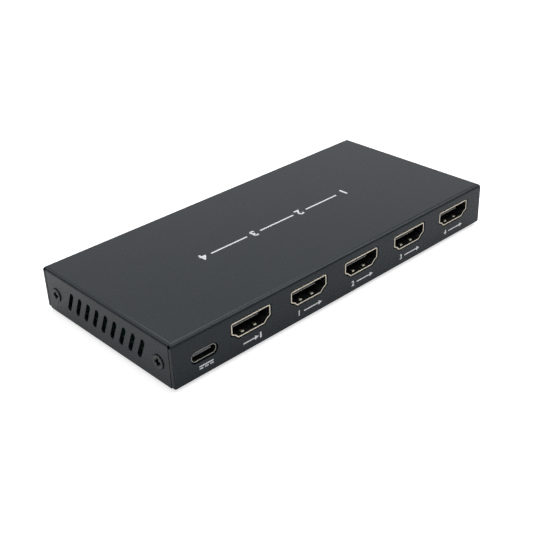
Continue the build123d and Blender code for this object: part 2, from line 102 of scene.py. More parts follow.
# Shader maths: a wire holds a node's output, and a sum of wires adds Math nodes.
class Wire:
    def __init__(self, desk, socket):
        self.desk, self.socket = desk, socket

    def join(self, kind, first, second):
        return self.desk.add("ShaderNodeMath", {"operation": kind}, {0: first, 1: second})

    def __add__(self, other):
        return self.join("ADD", self, other)

    def __radd__(self, other):
        return self.join("ADD", other, self)

    def __sub__(self, other):
        return self.join("SUBTRACT", self, other)

    def __rsub__(self, other):
        return self.join("SUBTRACT", other, self)

    def __mul__(self, other):
        return self.join("MULTIPLY", self, other)

    def __rmul__(self, other):
        return self.join("MULTIPLY", other, self)

    def __truediv__(self, other):
        return self.join("DIVIDE", self, other)

    def __gt__(self, other):
        return self.join("GREATER_THAN", self, other)

    def __lt__(self, other):
        return self.join("LESS_THAN", self, other)

    def __abs__(self):
        return self.join("ABSOLUTE", self, 0.0)


class Desk:
    # A material or a world, and the nodes in it.
    def __init__(self, holder, ending="ShaderNodeOutputMaterial"):
        self.holder = holder
        holder.use_nodes = True
        self.tree = holder.node_tree
        self.tree.nodes.clear()
        self.out = self.tree.nodes.new(ending)

    def put(self, socket, value):
        if isinstance(value, Wire):
            self.tree.links.new(value.socket, socket)
        else:
            socket.default_value = value

    # Any node: its type, its settings, what goes to its inputs, and which output comes back.
    def add(self, kind, settings=None, inputs=None, output=0):
        node = self.tree.nodes.new(kind)
        for key, value in (settings or {}).items():
            setattr(node, key, value)
        for key, value in (inputs or {}).items():
            self.put(node.inputs[key], value)
        return Wire(self, node.outputs[output])

    def place(self):
        return self.add("ShaderNodeTexCoord", output="Object")

    def stretched(self, place, scale):
        return self.add("ShaderNodeMapping", {}, {"Vector": place, "Scale": scale})

    # A noise, with the size of its clouds in millimetres.
    def noise(self, place, size, detail=2.0):
        values = {"Vector": place, "Scale": 1 / (size * mm), "Detail": detail}
        return self.add("ShaderNodeTexNoise", {}, values, "Fac")

    def parts(self, vector):
        split = self.tree.nodes.new("ShaderNodeSeparateXYZ")
        self.put(split.inputs[0], vector)
        return [Wire(self, socket) for socket in split.outputs]

    # A number stretched from one range to another and held inside it.
    def span(self, value, low, high, newLow=0.0, newHigh=1.0):
        values = {"Value": value, "From Min": low, "From Max": high,
                  "To Min": newLow, "To Max": newHigh}
        return self.add("ShaderNodeMapRange", {"clamp": True}, values)

    def mix(self, share, first, second):
        values = {"Factor": share, 6: (*first, 1) if isinstance(first, tuple) else first,
                  7: (*second, 1) if isinstance(second, tuple) else second}
        return self.add("ShaderNodeMix", {"data_type": "RGBA"}, values, 2)

    # A colour that a share takes from a dark to a light shade of it.
    def shades(self, share, colour, dark, light):
        return self.mix(share, shade(colour, dark), shade(colour, light))

    # A bump whose height of 1 is the distance in millimetres.
    def bump(self, height, distance=1.0):
        return self.add("ShaderNodeBump", {}, {"Height": height, "Distance": distance * mm})

    # The closing shader; plain numbers go straight onto its sockets.
    def close(self, inputs):
        shader = self.add("ShaderNodeBsdfPrincipled", {}, inputs)
        self.put(self.out.inputs["Surface"], shader)
        return self.holder

    # 1 on the rays that a mirror or clear plastic sends on, 0 on the others.
    def mirrored(self):
        glossy = self.add("ShaderNodeLightPath", output="Is Glossy Ray")
        through = self.add("ShaderNodeLightPath", output="Is Transmission Ray")
        return self.add("ShaderNodeMath", {"operation": "MAXIMUM"}, {0: glossy, 1: through})


def shade(colour, amount):
    return tuple(min(1.0, part * amount) for part in colour)


# What most of a noise lies between
noiseRange = (0.3, 0.7)

# Finishes. Sizes are millimetres: a cloud is the slow change of tone, a grain the fine tooth of the
# surface, and a stretch draws the grain out along an axis. What isn't metal has no metal value.
finishes = {
    "blackScrew": dict(
        slot="black_screw", colour=(0.014, 0.016, 0.017), rough=0.42,
        cloud=1.5, tone=0.25, grain=0.12, tooth=0.004, roughSpread=0.12),
    # Near-black for the screws' cross recess: painted shade in the recess
    "screwRecessPaintedShade": dict(
        slot="black_screw", colour=(0.008, 0.009, 0.010), rough=0.6, metal=1.0,
        cloud=1.0, tone=0.2, grain=0.12, tooth=0.004, roughSpread=0.1),
    "nickelPlate": dict(
        slot="socket_shell", colour=(0.62, 0.57, 0.47), rough=0.30, metal=1.0,
        cloud=2.2, tone=0.10, grain=0.25, tooth=0.0015, roughSpread=0.16, stretch=(1, 6, 1)),
    # Nickel painted near black: painted shade on the shell behind its lip, inside the socket
    "nickelPaintedShade": dict(
        slot="socket_shell", colour=(0.045, 0.047, 0.049), rough=0.50, metal=1.0,
        cloud=2.2, tone=0.15, grain=0.25, tooth=0.0015, roughSpread=0.16, stretch=(1, 6, 1)),
    # The fingers' nickel at half the lip's lightness: painted shade inside the socket, with a
    # rougher surface
    "springNickelPaintedShade": dict(
        slot="socket_shell", colour=(0.32, 0.30, 0.245), rough=0.50, metal=1.0,
        cloud=1.0, tone=0.15, grain=0.15, tooth=0.0015, roughSpread=0.16, stretch=(1, 6, 1)),
    "satinSteel": dict(
        slot="power_shell", colour=(0.29, 0.285, 0.26), rough=0.36, metal=1.0,
        cloud=2.0, tone=0.12, grain=0.2, tooth=0.0015, roughSpread=0.14, stretch=(1, 6, 1)),
    "socketPlastic": dict(
        slot="socket_plastic", colour=(0.014, 0.015, 0.017), rough=0.48,
        cloud=1.8, tone=0.2, grain=0.1, tooth=0.004, roughSpread=0.1),
    # Light grey plastic on the tongue's lower tip edge: a painted highlight, the glint of that edge
    "tonguePaintedGlint": dict(
        slot="socket_plastic", colour=(0.36, 0.36, 0.35), rough=0.35,
        cloud=1.8, tone=0.1, grain=0.1, tooth=0.002, roughSpread=0.1),
    # Grey plastic for the power tongue's tip: a painted sheen on the black plastic
    "plasticPaintedSheen": dict(
        slot="socket_plastic", colour=(0.15, 0.155, 0.168), rough=0.40,
        cloud=1.8, tone=0.2, grain=0.1, tooth=0.004, roughSpread=0.1),
    # Gold plating made much darker: the hue is the contacts' own, the darkness is painted shade
    # inside the sockets
    "goldInPaintedShade": dict(
        slot="contact_gold", colour=(0.30, 0.22, 0.11), rough=0.42, metal=1.0,
        cloud=1.2, tone=0.12, grain=0.1, tooth=0.001, roughSpread=0.12, stretch=(1, 5, 1)),
    "turnedBrass": dict(
        slot="standoff_brass", colour=(0.68, 0.51, 0.25), rough=0.3, metal=1.0,
        cloud=2.0, tone=0.15, grain=0.12, tooth=0.002, roughSpread=0.14, stretch=(1, 1, 8)),
    "zincSteel": dict(
        slot="steel_screw", colour=(0.60, 0.61, 0.60), rough=0.34, metal=1.0,
        cloud=1.5, tone=0.15, grain=0.15, tooth=0.002, roughSpread=0.16),
    "footRubber": dict(
        slot="foot_rubber", colour=(0.022, 0.022, 0.022), rough=0.82,
        cloud=2.5, tone=0.2, grain=0.3, tooth=0.012, roughSpread=0.1),
    "chipCase": dict(
        slot="light_chip", colour=(0.74, 0.70, 0.56), rough=0.45,
        cloud=0.5, tone=0.15, grain=0.08, tooth=0.002, roughSpread=0.1),
    "tinPlate": dict(
        slot="tinned_lead", colour=(0.66, 0.66, 0.63), rough=0.36, metal=1.0,
        cloud=0.8, tone=0.15, grain=0.1, tooth=0.002, roughSpread=0.2),
    "chipEpoxy": dict(
        slot="chip_body", colour=(0.028, 0.028, 0.030), rough=0.62,
        cloud=1.6, tone=0.2, grain=0.09, tooth=0.004, roughSpread=0.12),
    "thermalPad": dict(
        slot="pad_grey", colour=(0.36, 0.38, 0.41), rough=0.8,
        cloud=1.5, tone=0.15, grain=0.25, tooth=0.015, roughSpread=0.08),
    "extrudedAluminium": dict(
        slot="sink_aluminium", colour=(0.68, 0.69, 0.70), rough=0.36, metal=1.0,
        cloud=3.0, tone=0.1, grain=0.15, tooth=0.003, roughSpread=0.18, stretch=(1, 0.1, 1)),
    "capacitorYellow": dict(
        slot="capacitor_yellow", colour=(0.62, 0.42, 0.08), rough=0.5,
        cloud=2.0, tone=0.15, grain=0.1, tooth=0.003, roughSpread=0.12),
    "ferrite": dict(
        slot="ferrite", colour=(0.055, 0.055, 0.060), rough=0.66, metal=0.1,
        cloud=1.0, tone=0.3, grain=0.15, tooth=0.01, roughSpread=0.12),
    "ceramicTan": dict(
        slot="ceramic_tan", colour=(0.42, 0.30, 0.17), rough=0.55,
        cloud=0.5, tone=0.2, grain=0.1, tooth=0.004, roughSpread=0.1),
    "resistorGlaze": dict(
        slot="resistor_black", colour=(0.03, 0.03, 0.032), rough=0.3,
        cloud=0.6, tone=0.25, grain=0.1, tooth=0.002, roughSpread=0.12),
    "crystalLid": dict(
        slot="crystal_steel", colour=(0.70, 0.69, 0.64), rough=0.28, metal=1.0,
        cloud=1.2, tone=0.12, grain=0.15, tooth=0.0015, roughSpread=0.16, stretch=(6, 1, 1)),
}


def plainFinish(name, look):
    # Tone follows a cloud, roughness and height follow a grain that a drawn metal stretches.
    desk = Desk(bpy.data.materials.new(name))
    place = desk.place()
    cloud = desk.noise(place, look["cloud"], 3.0)
    grain = desk.noise(desk.stretched(place, look.get("stretch", (1, 1, 1))), look["grain"])
    tone = desk.span(cloud, *noiseRange)
    colour = desk.shades(tone, look["colour"], 1 - look["tone"], 1 + look["tone"] / 2)
    rough = look["rough"] + (grain + cloud - 1) * look["roughSpread"]
    return desk.close({"Base Color": colour, "Roughness": rough, "Metallic": look.get("metal", 0.0),
                       "Normal": desk.bump(grain, look["tooth"])})


# The black powder coat: melted grains a third of a millimetre wide, larger lumps and dull pinholes
coat = {
    "colour": (0.0068, 0.0092, 0.0126),
    "shades": (0.86, 1.12),
    "cloud": 14,
    "toneByGrain": 0.4,    # the rest of the tone follows the cloud
    "grain": 0.34,
    "grainEnd": 0.75,      # distance from a grain's middle at which its height has run out
    "grainHeight": 0.008,
    "lump": 1.1,
    "lumpHeight": 0.011,
    "pinhole": 0.22,
    "pinholeRange": (0.68, 0.78),
    "rough": 0.28,
    "roughByLump": 0.10,
    "roughInPinhole": 0.12,
    "specular": 0.262,
    "tint": (0.82, 0.935, 1.0),
}


def coatFinish(name, look):
    desk = Desk(bpy.data.materials.new(name))
    place = desk.place()
    cloud = desk.noise(place, look["cloud"], 3.0)
    lump = desk.noise(place, look["lump"])
    values = {"Vector": place, "Scale": 1 / (look["grain"] * mm)}
    cells = desk.add("ShaderNodeTexVoronoi", {}, values, "Distance")
    grain = 1 - desk.span(cells, 0.0, look["grainEnd"])
    pinhole = desk.span(desk.noise(place, look["pinhole"], 1.0), *look["pinholeRange"])
    share = look["toneByGrain"]
    tone = desk.span(cloud, *noiseRange) * (1 - share) + grain * share
    rough = look["rough"] + (lump - 0.5) * look["roughByLump"] + pinhole * look["roughInPinhole"]
    height = grain * look["grainHeight"] + lump * look["lumpHeight"] - pinhole * look["grainHeight"]
    return desk.close({"Base Color": desk.shades(tone, look["colour"], *look["shades"]),
                       "Roughness": rough, "Specular IOR Level": look["specular"],
                       "Specular Tint": (*look["tint"], 1), "Normal": desk.bump(height)})


# The circuit board: glossy mask over the weave and the tracks, bare laminate at the edge
board = {
    "mask": (0.010, 0.075, 0.045),
    "maskOverCopper": (0.020, 0.120, 0.070),
    "edge": (0.070, 0.150, 0.105),
    "edgeShades": (0.7, 1.3),
    "edgeRough": 0.62,
    "maskSmoother": 0.34,
    "cloud": 2,
    "roughByCloud": 0.08,
    "weave": 0.45,
    "weaveHeight": 0.004,
    "trackPitch": 1.3,
    "track": (0.35, 0.65),   # where it begins and ends in its pitch
    "trackBend": 6,
    "trackSway": 5,          # how many pitches it bends aside
    "trackHeight": 0.02,
    "layer": 1.5,
    "layerStretch": (1, 1, 14),
}


def boardFinish(name, look):
    desk = Desk(bpy.data.materials.new(name))
    place = desk.place()
    normal = desk.add("ShaderNodeNewGeometry", output="Normal")
    flat = abs(desk.parts(normal)[2]) > 0.5
    x, y, _ = desk.parts(place)
    wave = 2 * pi / (look["weave"] * mm)
    warp = desk.add("ShaderNodeMath", {"operation": "SINE"}, {0: x * wave})
    weft = desk.add("ShaderNodeMath", {"operation": "SINE"}, {0: y * wave})
    bent = desk.noise(desk.stretched(place, (1, 0.25, 1)), look["trackBend"], 1.0)
    line = x / (look["trackPitch"] * mm) + bent * look["trackSway"]
    line = desk.add("ShaderNodeMath", {"operation": "FRACT"}, {0: line})
    first, last = look["track"]
    track = (line > first) * (line < last)
    face = desk.mix(track, look["mask"], look["maskOverCopper"])
    layers = desk.noise(desk.stretched(place, look["layerStretch"]), look["layer"])
    edge = desk.shades(desk.span(layers, *noiseRange), look["edge"], *look["edgeShades"])
    rough = look["edgeRough"] - flat * look["maskSmoother"]
    rough = rough + desk.noise(place, look["cloud"]) * look["roughByCloud"]
    height = warp * weft * look["weaveHeight"] + track * look["trackHeight"]
    return desk.close({"Base Color": desk.mix(flat, edge, face), "Roughness": rough,
                       "Normal": desk.bump(height)})


# White printing ink, a little thin in places
ink = {
    "colour": (0.72, 0.74, 0.75),
    "thin": (0.50, 0.52, 0.53),
    "cloud": 0.25,
    "coverRange": (0.25, 0.55),
    "rough": 0.5,
    "roughWhereThin": 0.15,
    "height": 0.003,
}


def inkFinish(name, look):
    desk = Desk(bpy.data.materials.new(name))
    cover = desk.span(desk.noise(desk.place(), look["cloud"]), *look["coverRange"])
    rough = look["rough"] + (1 - cover) * look["roughWhereThin"]
    return desk.close({"Base Color": desk.mix(cover, look["thin"], look["colour"]),
                       "Roughness": rough, "Normal": desk.bump(cover, look["height"])})


# The milky light pipes, with faint flow lines along them
pipe = {
    "colour": (0.62, 0.66, 0.62),
    "shades": (0.85, 1.1),
    "flow": 0.8,
    "flowStretch": (1, 0.15, 1),
    "flowHeight": 0.01,
    "rough": 0.28,
    "roughByFlow": 0.15,
    "refraction": 1.49,
}


def pipeFinish(name, look):
    desk = Desk(bpy.data.materials.new(name))
    flow = desk.noise(desk.stretched(desk.place(), look["flowStretch"]), look["flow"])
    colour = desk.shades(desk.span(flow, *noiseRange), look["colour"], *look["shades"])
    rough = look["rough"] + (flow - 0.5) * look["roughByFlow"]
    return desk.close({"Base Color": colour, "Roughness": rough, "IOR": look["refraction"],
                       "Normal": desk.bump(flow, look["flowHeight"])})


materials = {name: plainFinish(name, look) for name, look in finishes.items()}
slots = {name: look["slot"] for name, look in finishes.items()}
for make, name, look, slot in ((coatFinish, "powderCoat", coat, "cover_coat"),
                               (boardFinish, "boardMask", board, "board_laminate"),
                               (inkFinish, "whiteInk", ink, "cover_coat"),
                               (pipeFinish, "milkyPipe", pipe, "light_lens")):
    materials[name], slots[name] = make(name, look), slot
print("finishes made,", len(materials))


# Outlines, lofts and sweeps, worked out as whole arrays in millimetres
def roundedOutline(corners, radii, inset=0.0, steps=5, least=0.01):
    # Moves each side in by the inset, then cuts each corner by an arc tangent to its two sides.
    # Corners run anticlockwise. The inset makes outward arcs smaller and inward ones larger.
    p = np.asarray(corners, float)
    r = np.broadcast_to(np.asarray(radii, float), len(p))
    before = p - np.roll(p, 1, 0)
    after = np.roll(p, -1, 0) - p
    before /= np.linalg.norm(before, axis=1, keepdims=True)
    after /= np.linalg.norm(after, axis=1, keepdims=True)
    inBefore = np.stack([-before[:, 1], before[:, 0]], 1)
    inAfter = np.stack([-after[:, 1], after[:, 0]], 1)
    cross = before[:, 0] * after[:, 1] - before[:, 1] * after[:, 0]
    turn = np.arctan2(cross, (before * after).sum(1))
    side = np.sign(turn)
    corner = p + inset * (inBefore + inAfter) / (1 + (inBefore * inAfter).sum(1, keepdims=True))
    radius = np.maximum(r - side * inset, least)
    reach = radius * np.tan(abs(turn) / 2)
    centre = corner - before * reach[:, None] + inBefore * (side * radius)[:, None]
    angle = turn[:, None] * np.linspace(0, 1, steps + 1)
    arm = -inBefore * (side * radius)[:, None]
    x = arm[:, None, 0] * np.cos(angle) - arm[:, None, 1] * np.sin(angle)
    y = arm[:, None, 0] * np.sin(angle) + arm[:, None, 1] * np.cos(angle)
    return (centre[:, None] + np.stack([x, y], -1)).reshape(-1, 2)


def rectangle(width, height, middle=(0, 0)):
    a, b = width / 2, height / 2
    return np.array([(-a, -b), (a, -b), (a, b), (-a, b)]) + middle


def roundedEnds(start, end, radius, steps=4):
    # Stations of a bar whose two ends are rounded: place along it, and inset of its outline.
    angle = np.linspace(0, pi / 2, steps + 1)
    rise = np.stack([start + radius * (1 - np.cos(angle)), radius * (1 - np.sin(angle))], 1)
    fall = np.stack([end - radius * (1 - np.cos(angle)), radius * (1 - np.sin(angle))], 1)[::-1]
    return np.concatenate([rise, fall])


def onAxes(along, outline, level):
    # Puts a flat outline at its place along an axis.
    level = np.full(len(outline), level)
    u, v = outline.T
    return np.stack({"x": (level, u, v), "y": (u, level, v), "z": (u, v, level)}[along], -1)


def grid(points, ring=False):
    # Rows of points. A ring joins its last row to its first, anything else is closed by flat ends.
    return {"points": points, "ring": ring}


def loft(along, corners, radii, stations, ring=False, steps=5):
    # The outline is drawn at each station, inset as it says, and neighbouring outlines are joined.
    rows = [onAxes(along, roundedOutline(corners, radii, inset, steps), level)
            for level, inset in stations]
    return grid(np.stack(rows), ring)


def turned(profile, centre, axis, count):
    # Each point of the profile, as radius and height, turns about the axis.
    axis = np.asarray(axis, float)
    first = np.cross(axis, (0, 0, 1) if abs(axis[2]) < 0.9 else (1, 0, 0))
    first = first / np.linalg.norm(first)
    second = np.cross(axis, first)
    angle = np.linspace(0, 2 * pi, count, endpoint=False)
    circle = np.cos(angle)[:, None] * first + np.sin(angle)[:, None] * second
    radius, height = np.asarray(profile, float).T
    return grid(centre + radius[:, None, None] * circle + height[:, None, None] * axis)


def sweep(path, section):
    # The section, in X and along the path's normal, is carried along a path in Y and Z.
    path = np.asarray(path, float)
    run = np.gradient(path, axis=0)
    run /= np.linalg.norm(run, axis=1, keepdims=True)
    normal = np.stack([-run[:, 1], run[:, 0]], 1)
    section = np.asarray(section, float)
    if section.ndim == 2:
        section = np.broadcast_to(section, (len(path), *section.shape))
    flat = path[:, None] + section[..., 1:] * normal[:, None]
    return grid(np.concatenate([section[..., :1], flat], -1))


def moved(shape, x):
    return grid(shape["points"] + (x, 0, 0), shape["ring"])


def meshOf(name, shapes):
    # Quads between neighbouring rows of each grid, and a flat face at each open end.
    points, faces, start = [], [], 0
    for shape in shapes:
        rows, count = shape["points"].shape[:2]
        spans = rows if shape["ring"] else rows - 1
        a, b = np.meshgrid(np.arange(spans), np.arange(count), indexing="ij")
        here, there, after = a * count, (a + 1) % rows * count, (b + 1) % count
        quads = np.stack([here + b, here + after, there + after, there + b], -1)
        faces += (quads.reshape(-1, 4) + start).tolist()
        if not shape["ring"]:
            ends = np.arange(count)
            faces += [(ends[::-1] + start).tolist(), (ends + start + (rows - 1) * count).tolist()]
        points.append(shape["points"].reshape(-1, 3))
        start += rows * count
    mesh = bpy.data.meshes.new(name)
    mesh.from_pydata((np.concatenate(points) * mm).tolist(), [], faces)
    tidyMesh(mesh)
    return mesh


def tidyMesh(mesh, merge=1e-7, flat=0.0):
    # Merges points nearer than merge (metres) and faces that differ by less than flat (degrees).
    work = bmesh.new()
    work.from_mesh(mesh)
    bmesh.ops.remove_doubles(work, verts=work.verts, dist=merge)
    bmesh.ops.dissolve_degenerate(work, edges=work.edges, dist=merge)
    if flat:
        bmesh.ops.dissolve_limit(work, angle_limit=radians(flat),
                                 verts=work.verts, edges=work.edges)
    bmesh.ops.recalc_face_normals(work, faces=work.faces)
    work.to_mesh(mesh)
    work.free()


def smooth(mesh, angle):
    mesh.polygons.foreach_set("use_smooth", np.ones(len(mesh.polygons), bool))
    mesh.set_sharp_from_angle(angle=radians(angle))


def addPiece(name, mesh, finish, *replaced, others=(), slot=None, angle=32, thick=0.0):
    # The other finishes go to the faces of the mesh's second and third kind.
    smooth(mesh, angle)
    piece = placed(name, mesh)
    kinds = np.zeros(len(mesh.polygons), np.int32)
    mesh.polygons.foreach_get("material_index", kinds)
    mesh.materials.clear()
    for part in (finish, *others):
        mesh.materials.append(materials[part])
    mesh.polygons.foreach_set("material_index", np.minimum(kinds, len(others)))
    if thick:
        layer = piece.modifiers.new("layer", "SOLIDIFY")
        layer.thickness, layer.offset = thick * mm, 1.0
    weigh = piece.modifiers.new("evenShading", "WEIGHTED_NORMAL")
    weigh.keep_sharp, weigh.weight = True, 80
    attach(piece, "root")
    if replaced:
        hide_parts(*replaced)


def applied(mesh, kind, **settings):
    # The mesh after one modifier, given by its kind and settings.
    body = placed("body", mesh)
    step = body.modifiers.new("step", kind)
    for key, value in settings.items():
        setattr(step, key, value)
    ready = body.evaluated_get(bpy.context.evaluated_depsgraph_get())
    result = bpy.data.meshes.new_from_object(ready)
    result.name = mesh.name
    bpy.data.objects.remove(body)
    return result


def cutAway(mesh, cutters):
    # What is left of a mesh after closed cutters are taken out of it.
    tool = placed("tool", cutters)
    result = applied(mesh, "BOOLEAN", operation="DIFFERENCE", solver="EXACT", object=tool)
    bpy.data.objects.remove(tool)
    return result


def positions(mesh):
    points = np.empty(len(mesh.vertices) * 3)
    mesh.vertices.foreach_get("co", points)
    return points.reshape(-1, 3)


def faceMiddles(mesh):
    middles = np.empty(len(mesh.polygons) * 3)
    mesh.polygons.foreach_get("center", middles)
    return middles.reshape(-1, 3) / mm


def giveKinds(mesh, kinds):
    # Numbers the faces; the numbers stand for the finishes that addPiece gives them.
    mesh.materials.clear()
    for _ in range(3):
        mesh.materials.append(None)
    mesh.polygons.foreach_set("material_index", np.asarray(kinds, np.int32))


def softened(mesh, width, angle=38):
    # Bevels the sharp edges, and holds each point inside the box that the mesh had before.
    low, high = positions(mesh).min(0), positions(mesh).max(0)
    result = applied(mesh, "BEVEL", width=width * mm, segments=2, limit_method="ANGLE",
                     angle_limit=radians(angle), use_clamp_overlap=False)
    result.vertices.foreach_set("co", np.clip(positions(result), low, high).ravel())
    result.update()
    return result


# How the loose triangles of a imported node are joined, in metres and degrees
joining = {"merge": 2e-6, "flat": 0.2}


def copyOfNode(node, name):
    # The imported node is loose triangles; the copy is merged and its flat faces are made whole.
    mesh = nodes[node].data.copy()
    mesh.name = name
    tidyMesh(mesh, **joining)
    return mesh


# Cover: the folded sheet, its vents with full round ends and its corner reliefs drilled round
coverLook = {
    "vents": 9,
    "ventLength": 7.25,
    "ventWidth": 1.65,
    "ventSlant": 24.2,     # degrees from upright, the top towards the sockets
    "ventField": 34.6,     # from the first vent of a row to the last
    "ventEase": 0.008,     # the round cutter stands this far outside the flat-sided slot
    "ventThrough": (0.4, 0.6),   # how far the cutter passes the sheet, inside and outside
    "relief": 0.5,
    "reliefEase": 0.01,
    "reliefTurn": 22.0,    # degrees its axis turns from the end towards the long side
    "reliefClimb": 20.0,
    "reliefDrill": (0.02, 2.3),  # from and to, along its axis from the middle of the bends
    "edge": 0.07,
    "angle": 38,
}


def ventCutters(look):
    # Each slot is a straight run with a half circle at both ends, carried through the sheet in X.
    radius = look["ventWidth"] / 2 + look["ventEase"]
    reach = look["ventLength"] / 2 - look["ventWidth"] / 2
    half = np.linspace(0, pi, 15)
    up = np.stack([radius * np.cos(half), reach + radius * np.sin(half)], 1)
    slot = np.concatenate([up, -up])
    slant = radians(look["ventSlant"])
    slot = slot @ np.array([[cos(slant), sin(slant)], [-sin(slant), cos(slant)]])
    inside, outside = look["ventThrough"]
    ends = (case["halfLength"] - case["sheet"] - inside, case["halfLength"] + outside)
    middle = (case["floor"] + case["top"]) / 2
    cutters = []
    for y in np.linspace(-1, 1, look["vents"]) * look["ventField"] / 2:
        for side in (-1, 1):
            rows = [onAxes("x", slot + (y, middle), side * end) for end in ends]
            cutters.append(grid(np.stack(rows)))
    return cutters


def reliefCutters(look):
    # A drill out of the middle of each upper corner's bends, at the top of the corner seam.
    turn, climb = radians(look["reliefTurn"]), radians(look["reliefClimb"])
    radius, (start, end) = look["relief"] + look["reliefEase"], look["reliefDrill"]
    profile = [(0, start), (radius, start), (radius, end), (0, end)]
    foot = np.array([case["halfLength"], case["halfWidth"], case["top"]]) - case["bend"]
    cutters = []
    for x in (-1, 1):
        for y in (-1, 1):
            axis = (x * cos(climb) * cos(turn), y * cos(climb) * sin(turn), sin(climb))
            cutters.append(turned(profile, foot * (x, y, 1), axis, 36))
    return cutters


def makeCover(look):
    cover = copyOfNode("top_cover", "cover")
    cover = cutAway(cover, meshOf("coverCuts", ventCutters(look) + reliefCutters(look)))
    tidyMesh(cover, **joining)
    addPiece("cover", softened(cover, look["edge"]), "powderCoat", "top_cover", angle=look["angle"])


makeCover(coverLook)
tray = softened(copyOfNode("bottom_tray", "tray"), coverLook["edge"])
addPiece("tray", tray, "powderCoat", "bottom_tray", slot="tray_coat", angle=coverLook["angle"])
print("cover and tray made")


# Case screws: low heads with a cross recess, a cone that seats in the cover, and a thread below
screwLook = {
    "head": 2.1,
    "rise": 0.4,           # of the head out of the flange
    "crown": 0.05,         # the middle of the head over its rim
    "rim": 0.15,
    "shank": 1.25,
    "seat": 1.0,           # depth of the cone
    "length": 4.0,
    "pitch": 0.5,
    "thread": 0.14,
    "fade": 0.4,           # over which the thread begins and ends
    "span": 2.6,           # of the cross, end to end
    "arm": 0.90,
    "depth": 1.2,
    "shallower": 0.45,     # share of the depth that is lost towards the cross's ends
    "slope": 0.06,         # over which the recess falls
    "recessFrom": 0.16,    # below the head's top, where the recess is painted darker as shade
    "sideY": 25.0,
    "height": 7.7,
}


def screwHead(look):
    # Height over a disc: a shallow crown with a rounded rim, less the cross, deepest in its middle.
    # The distance to the cross is the smaller of the distances to its two bars.
    radius = np.linspace(0, 1, 46)[:, None] * look["head"]
    angle = np.linspace(0, 2 * pi, 96, endpoint=False)
    x, y = radius * np.cos(angle), radius * np.sin(angle)

    def bar(a, b):
        dx, dy = abs(a) - look["span"] / 2, abs(b) - look["arm"] / 2
        return np.hypot(np.maximum(dx, 0), np.maximum(dy, 0)) + np.minimum(np.maximum(dx, dy), 0)

    away = np.minimum(bar(x, y), bar(y, x))
    inside = np.clip(0.5 - away / look["slope"], 0, 1)
    inside = inside * inside * (3 - 2 * inside)
    fall = look["depth"] * (1 - look["shallower"] * radius / (look["span"] / 2))
    edge = np.clip((radius - (look["head"] - look["rim"])) / look["rim"], 0, 1)
    crown = look["crown"] * (radius / look["head"]) ** 2
    crown = crown + look["rim"] * (1 - np.sqrt(1 - edge ** 2))
    return np.stack([x, y, look["rise"] - crown - inside * np.maximum(fall, 0)], -1)


def screwThread(look):
    # Radius of the shank by angle and height: a ridge that climbs one pitch each turn and fades at
    # both ends. A last row at the centre closes its end.
    angle = np.linspace(0, 2 * pi, 32, endpoint=False)
    top, end = -look["seat"], -look["length"]
    height = np.linspace(top, end, 52)[:, None]
    phase = (height / look["pitch"] + angle / (2 * pi)) % 1
    fade = np.clip(np.minimum(top - height, height - end) / look["fade"], 0, 1)
    radius = look["shank"] - look["thread"] * fade * abs(2 * phase - 1)
    rows = np.stack([radius * np.cos(angle), radius * np.sin(angle), height + 0 * angle], -1)
    return np.concatenate([rows, rows[-1:] * (0, 0, 1)])


def makeScrews(look):
    # Below the rim each row is the rim's circle drawn in to a radius at a height.
    head, shank = screwHead(look), screwThread(look)
    rows = [head[-1] * (radius / look["head"], radius / look["head"], 0) + (0, 0, height)
            for radius, height in ((look["head"], 0), (look["shank"], -look["seat"]))]
    head = np.concatenate([head, rows])
    shapes = []
    for side in (-1, 1):
        for along in (-1, 1):
            place = np.array([side * case["halfLength"], along * look["sideY"], look["height"]])
            # The screw's own x and y lie in the end's plane, and its z points out of it.
            axes = np.array([(0, side, 0), (0, 0, 1), (side, 0, 0)], float)
            shapes += [grid(part @ axes + place) for part in (head, shank)]
    screws = meshOf("caseScrews", shapes)
    x, y, z = faceMiddles(screws).T
    # Faces deep in the cross take the near-black finish: painted shade
    deep = abs(x) < case["halfLength"] + look["rise"] - look["recessFrom"]
    away = np.hypot(abs(y) - look["sideY"], z - look["height"])
    giveKinds(screws, deep & (away < look["span"] / 2))
    return screws


screws = makeScrews(screwLook)
addPiece("caseScrews", screws, "blackScrew", "case_screws", others=("screwRecessPaintedShade",), angle=50)


# Rubber feet: discs with a rounded lower rim and a broken upper one
footLook = {"radius": 4.0, "height": 1.2, "round": 0.3, "edge": 0.08, "x": 51.7, "y": 22.5}


def makeFeet(look):
    radius, height, edge = look["radius"], look["height"], look["edge"]
    angle = np.linspace(0, pi / 2, 6)
    low = np.stack([radius - look["round"] * (1 - np.sin(angle)),
                    look["round"] * (1 - np.cos(angle))], 1)
    top = [(radius, height - edge), (radius - edge, height), (0, height)]
    profile = np.concatenate([[(0, 0)], low, top])
    places = [(x, y, 0) for x in (-look["x"], look["x"]) for y in (-look["y"], look["y"])]
    return meshOf("feet", [turned(profile, place, (0, 0, 1), 48) for place in places])


addPiece("feet", makeFeet(footLook), "footRubber", "rubber_feet")
print("screws and feet made")


